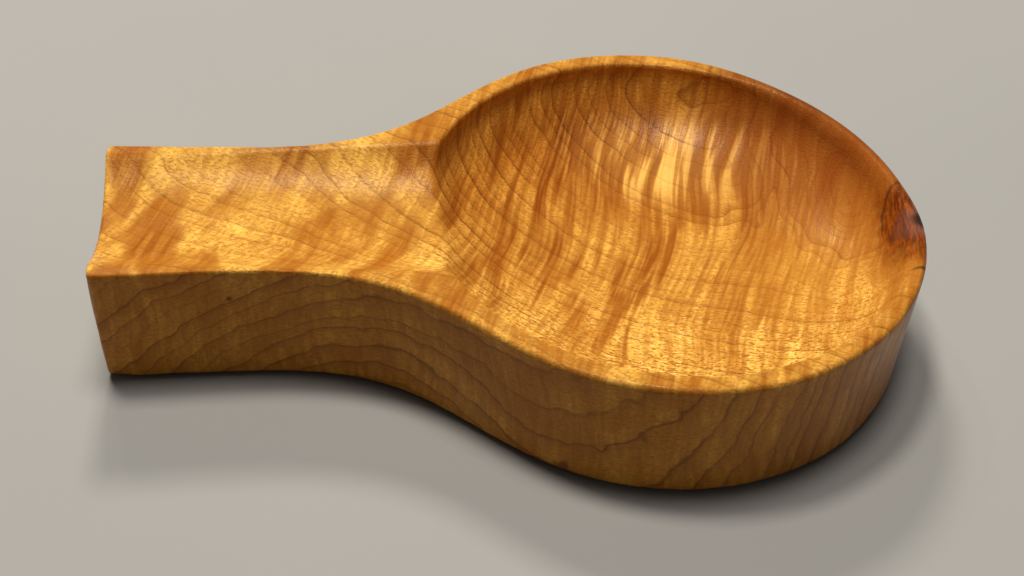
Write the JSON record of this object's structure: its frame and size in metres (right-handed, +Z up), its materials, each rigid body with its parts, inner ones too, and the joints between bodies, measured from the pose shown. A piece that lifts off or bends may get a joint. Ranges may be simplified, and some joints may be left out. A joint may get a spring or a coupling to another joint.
{
  "type": "spoon rest",
  "caption": "Carved maple spoon rest: round dished bowl, short flared tail with a lengthwise trough for the handle, thin rubber pads under the base.",
  "frame": {"origin": "middle of the base, in the plane of the pads' lower faces, under the centre of the bounding box", "axes": "+X along the object from the tail to the bowl's tip, +Y across it towards its left side, +Z up"},
  "size_m": [0.195, 0.127, 0.0329],
  "materials": {
    "maple": "figured maple, oiled and polished to a soft gloss, honey amber with darker growth lines and one reddish knot in the rim",
    "pad_rubber": "matte black rubber"
  },
  "bodies": {
    "root": {"spoon_rest_body": "maple", "bowl_pad_tip": "pad_rubber", "bowl_pad_left": "pad_rubber", "bowl_pad_right": "pad_rubber", "tail_pad_left": "pad_rubber", "tail_pad_right": "pad_rubber"}
  },
  "joints": []
}
